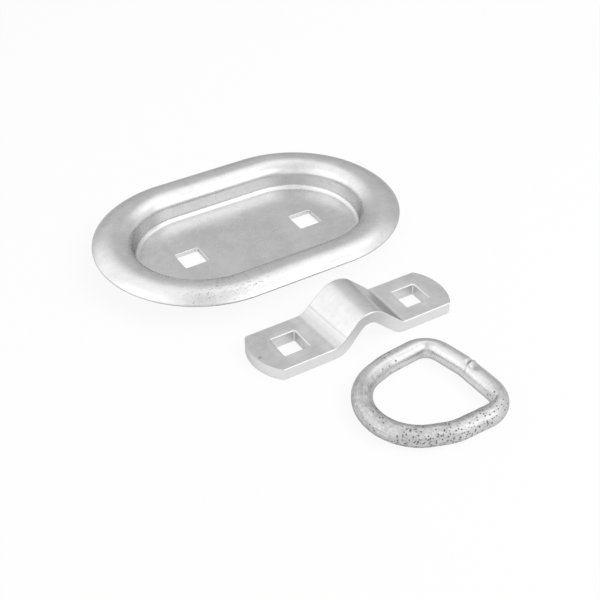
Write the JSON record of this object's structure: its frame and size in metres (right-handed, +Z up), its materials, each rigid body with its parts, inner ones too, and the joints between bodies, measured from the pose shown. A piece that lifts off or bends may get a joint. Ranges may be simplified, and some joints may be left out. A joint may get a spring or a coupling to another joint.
{
  "type": "floor tie-down ring",
  "caption": "Recessed floor tie-down ring kit, laid out unassembled: pressed oval pan, humped saddle bracket with square bolt holes, and welded D-ring.",
  "frame": {"origin": "on the surface that the three loose pieces lie on, under the middle of the whole layout", "axes": "+X along the pan, +Y from the ring towards the pan, +Z up"},
  "size_m": [0.1394, 0.1953, 0.0164],
  "materials": {
    "zinc_sheet": "bright zinc plated pressed steel sheet, satin",
    "zinc_strip": "zinc plated flat bar, dull satin",
    "zinc_round_bar": "dipped zinc on round bar, bright with small dark pits"
  },
  "bodies": {
    "root": {"recess_pan": "zinc_sheet", "saddle_bracket": "zinc_strip", "d_ring": "zinc_round_bar"}
  },
  "joints": []
}
